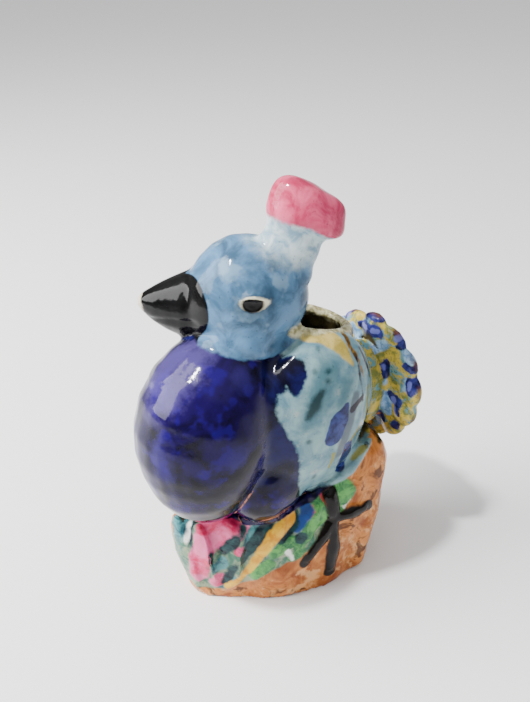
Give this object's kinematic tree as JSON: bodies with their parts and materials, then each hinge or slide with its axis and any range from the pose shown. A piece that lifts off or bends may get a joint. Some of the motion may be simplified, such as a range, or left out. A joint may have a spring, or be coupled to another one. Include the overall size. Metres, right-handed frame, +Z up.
{
  "type": "ceramic peacock planter figurine",
  "caption": "Glazed ceramic peacock perched on a rocky stump, with a hollow body open along the back as a small planter.",
  "frame": {"origin": "centre of the flat underside of the stump, on the surface that the figure stands on", "axes": "+Z up, -Y towards the bird's breast, +X towards the bird's left wing"},
  "size_m": [0.0604, 0.113, 0.1698],
  "materials": {
    "glaze": "gloss"
  },
  "bodies": {
    "root": {"peacock": "glaze"}
  },
  "joints": []
}
